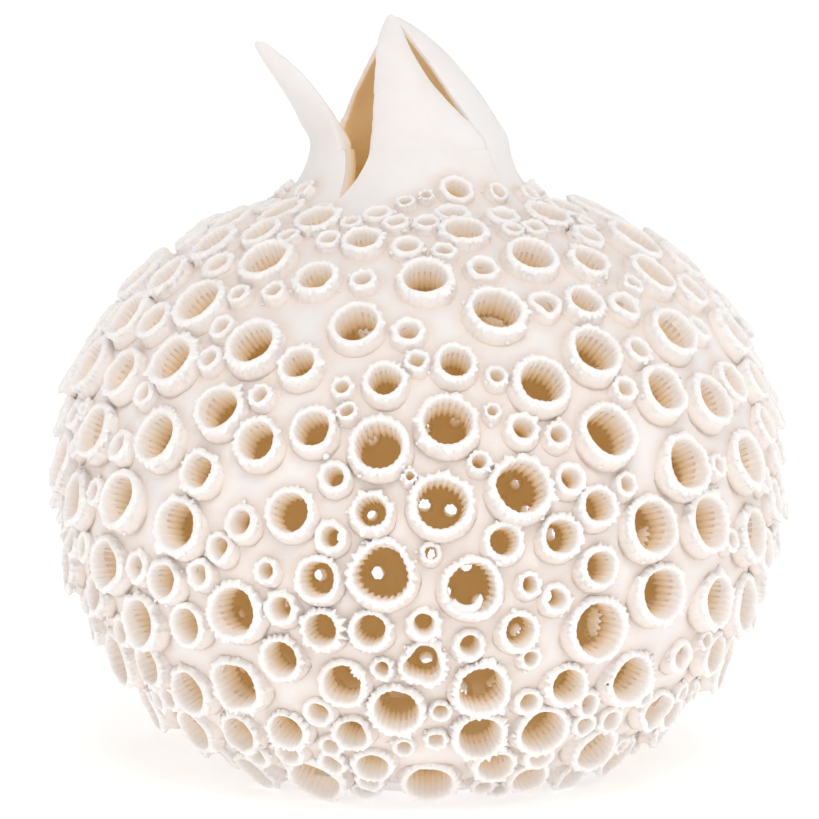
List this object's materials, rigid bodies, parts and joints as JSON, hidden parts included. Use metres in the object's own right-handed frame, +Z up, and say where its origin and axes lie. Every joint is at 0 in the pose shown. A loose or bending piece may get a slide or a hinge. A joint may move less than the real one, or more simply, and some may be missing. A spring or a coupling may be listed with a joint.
{
  "type": "flower frog",
  "caption": "Hollow pomegranate-shaped flower frog of unglazed porcelain, its body covered with pierced stem collars of several sizes, under a crown of four sepals.",
  "frame": {"origin": "centre of the foot, on the table", "axes": "+Z up through the crown, -Y towards the front, which is the broad sepal's side, +X to the right seen from the front"},
  "size_m": [0.1214, 0.1218, 0.1237],
  "materials": {
    "body_bisque": "matte unglazed porcelain, smoothed by hand",
    "collar_bisque": "matte unglazed porcelain, torn and soft-edged",
    "sepal_bisque": "matte unglazed porcelain, thin and smooth"
  },
  "bodies": {
    "root": {"foot": "body_bisque", "lower_shell": "body_bisque", "upper_shell": "body_bisque", "neck": "body_bisque", "sepal_front": "sepal_bisque", "sepal_left": "sepal_bisque", "sepal_right": "sepal_bisque", "sepal_back": "sepal_bisque", "large_collars_base": "collar_bisque", "large_collars_lower": "collar_bisque", "large_collars_middle": "collar_bisque", "large_collars_upper": "collar_bisque", "large_collars_shoulder": "collar_bisque", "medium_collars_base": "collar_bisque", "medium_collars_lower": "collar_bisque", "medium_collars_middle": "collar_bisque", "medium_collars_upper": "collar_bisque", "medium_collars_shoulder": "collar_bisque", "small_collars_base": "collar_bisque", "small_collars_lower": "collar_bisque", "small_collars_middle": "collar_bisque", "small_collars_upper": "collar_bisque", "small_collars_shoulder": "collar_bisque"}
  },
  "joints": []
}
